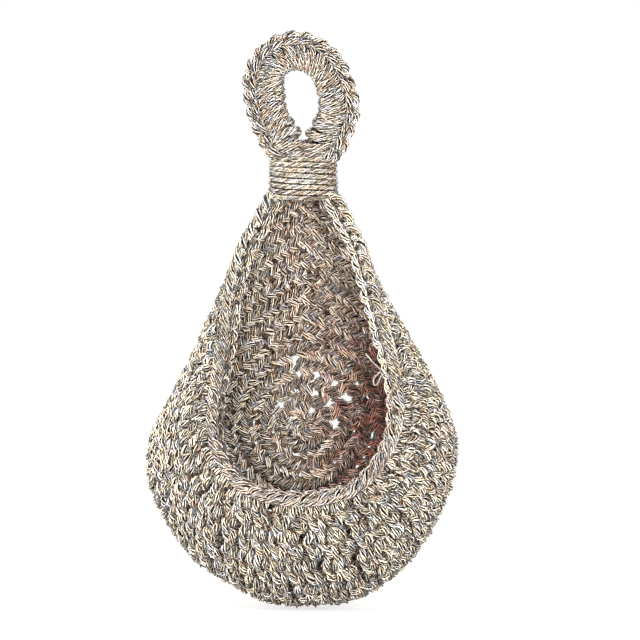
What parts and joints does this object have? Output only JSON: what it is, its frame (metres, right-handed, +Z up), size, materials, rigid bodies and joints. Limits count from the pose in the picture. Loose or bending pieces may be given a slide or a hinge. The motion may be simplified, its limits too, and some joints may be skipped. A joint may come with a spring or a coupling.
{
  "type": "wall basket",
  "caption": "Crocheted teardrop wall basket with a forward-facing mouth, a bound neck and a padded hanging loop.",
  "frame": {"origin": "crown of the hanging loop's eye, where the hook bears, midway between the loop's faces", "axes": "+Z up the wall from the base to the loop, -Y out of the mouth into the room, +X to the viewer's right"},
  "size_m": [0.1776, 0.0888, 0.3293],
  "materials": {
    "cord": "matt two-tone twisted cord",
    "edging": "matt two-tone chain stitches",
    "binding": "matt wound cord",
    "core": "matt bundled cord"
  },
  "bodies": {
    "loop": {"loop_foot": "core", "loop_core": "core", "loop_stitches": "cord", "loop_edge_braid": "edging"},
    "neck": {"neck_gather": "core", "neck_binding": "binding"},
    "basket": {"centre_ring": "cord", "round_01": "cord", "round_02": "cord", "round_03": "cord", "round_04": "cord", "round_05": "cord", "round_06": "cord", "round_07": "cord", "round_08": "cord", "round_09": "cord", "round_10": "cord", "round_11": "cord", "round_12": "cord", "round_13": "cord", "round_14": "cord", "round_15": "cord", "rim_braid": "edging"}
  },
  "joints": [
    {"name": "neck_lean", "type": "hinge", "parent": "loop", "child": "neck", "pos_m": [0.0045, 0, -0.043], "axis": [1, 0, 0], "range_deg": [-30, 30], "stiffness_Nm_per_rad": 0.7, "springref_deg": -2.86},
    {"name": "basket_twist", "type": "hinge", "parent": "neck", "child": "basket", "pos_m": [0.0045, 0, -0.0731], "axis": [0, 0, 1], "range_deg": [-35, 35], "stiffness_Nm_per_rad": 0.15}
  ]
}
